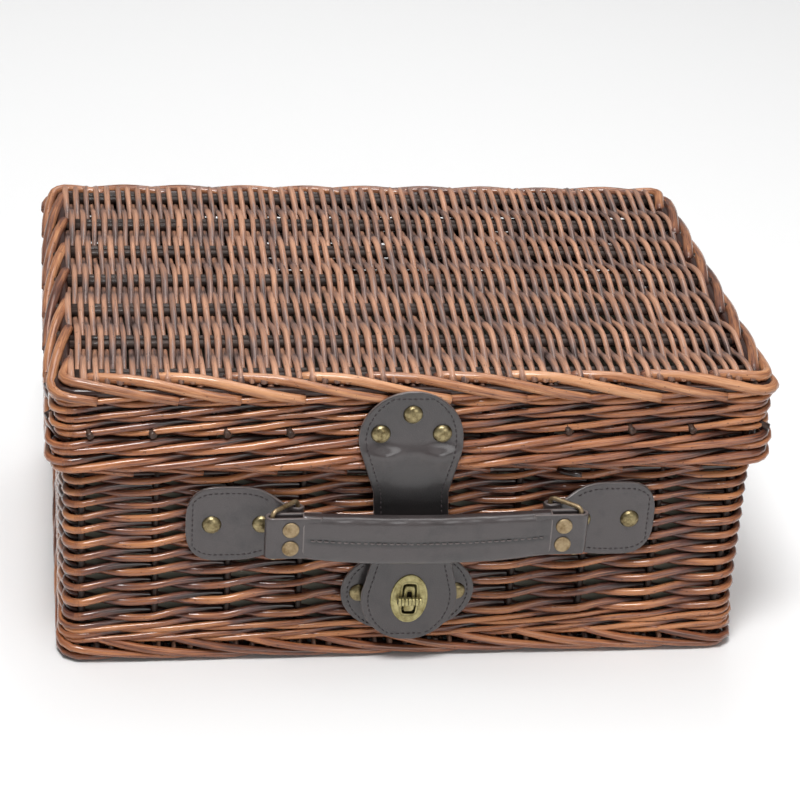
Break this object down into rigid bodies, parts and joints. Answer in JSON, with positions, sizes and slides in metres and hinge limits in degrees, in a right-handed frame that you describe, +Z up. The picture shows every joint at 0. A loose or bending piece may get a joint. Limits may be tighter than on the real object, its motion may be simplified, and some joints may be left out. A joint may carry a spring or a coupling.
{
  "type": "wicker picnic basket",
  "caption": "Rectangular woven willow picnic basket with a hinged lid, a leather carrying handle on rings and a leather hasp closed by a brass turn lock.",
  "frame": {"origin": "middle of the basket's underside, on the surface that it stands on", "axes": "+Z up; -Y is the front, with the handle and the lock; +X is to the right seen from the front"},
  "size_m": [0.4, 0.3003, 0.18],
  "materials": {
    "stained_willow": "dark stained and varnished willow rods",
    "grey_leather": "warm grey smooth leather, stitched near its edges",
    "antique_brass": "antique brass with dark recesses",
    "lining_cloth": "plain woven olive grey cloth",
    "handle_foam": "felt padding inside the grip"
  },
  "bodies": {
    "basket": {"base_weave": "stained_willow", "base_sticks": "stained_willow", "foot_border": "stained_willow", "bottom_wale": "stained_willow", "body_weave": "stained_willow", "body_stakes": "stained_willow", "body_border": "stained_willow", "body_lining": "lining_cloth", "body_hinge_rivets": "antique_brass", "body_hinge_washers": "antique_brass", "body_hinge_leaf_left": "grey_leather", "body_hinge_leaf_right": "grey_leather", "lock_tab": "grey_leather", "lock_tab_rivets": "antique_brass", "lock_tab_washers": "antique_brass", "lock_base_plate": "antique_brass", "lock_post": "antique_brass", "tab_left": "grey_leather", "tab_right": "grey_leather", "tab_rivets": "antique_brass", "tab_washers": "antique_brass"},
    "lid": {"lid_rim_border": "stained_willow", "lid_wall_weave": "stained_willow", "lid_stakes": "stained_willow", "lid_top_border": "stained_willow", "lid_top_weave": "stained_willow", "lid_sticks": "stained_willow", "lid_hinge_rivets": "antique_brass", "lid_hinge_washers": "antique_brass", "lid_hinge_leaf_left": "grey_leather", "lid_hinge_leaf_right": "grey_leather", "hasp_strap": "grey_leather", "hasp_rivets": "antique_brass", "hasp_washers": "antique_brass"},
    "hasp": {"hasp_tongue": "grey_leather", "lock_eyelet": "antique_brass", "lock_eyelet_back": "antique_brass"},
    "lock_bar": {"turn_bar": "antique_brass"},
    "handle": {"handle_strap": "grey_leather", "handle_rivets": "antique_brass", "handle_grip": "grey_leather", "handle_padding": "handle_foam"},
    "ring_left": {"ring_left": "antique_brass"},
    "ring_right": {"ring_right": "antique_brass"}
  },
  "joints": [
    {"name": "lid_hinge", "type": "hinge", "parent": "basket", "child": "lid", "pos_m": [0, 0.1411, 0.1193], "axis": [-1, 0, 0], "range_deg": [0, 104]},
    {"name": "hasp_flex", "type": "hinge", "parent": "lid", "child": "hasp", "pos_m": [0, -0.1423, 0.073], "axis": [-1, 0, 0], "range_deg": [0, 90]},
    {"name": "lock_turn", "type": "hinge", "parent": "basket", "child": "lock_bar", "pos_m": [0, -0.1437, 0.044], "axis": [0, -1, 0], "range_deg": [0, 90]},
    {"name": "handle_pull", "type": "slide", "parent": "basket", "child": "handle", "axis": [0, -1, 0], "range_m": [0, 0.004]},
    {"name": "ring_left_swing", "type": "hinge", "parent": "basket", "child": "ring_left", "pos_m": [-0.064, -0.137, 0.09], "axis": [0, 0, 1], "range_deg": [0, 18]},
    {"name": "ring_right_swing", "type": "hinge", "parent": "basket", "child": "ring_right", "pos_m": [0.076, -0.137, 0.09], "axis": [0, 0, -1], "range_deg": [0, 18]}
  ],
  "couplings": [
    {"joint": "ring_left_swing", "follows": "handle_pull", "rad_per_m": 78},
    {"joint": "ring_right_swing", "follows": "handle_pull", "rad_per_m": 78}
  ]
}
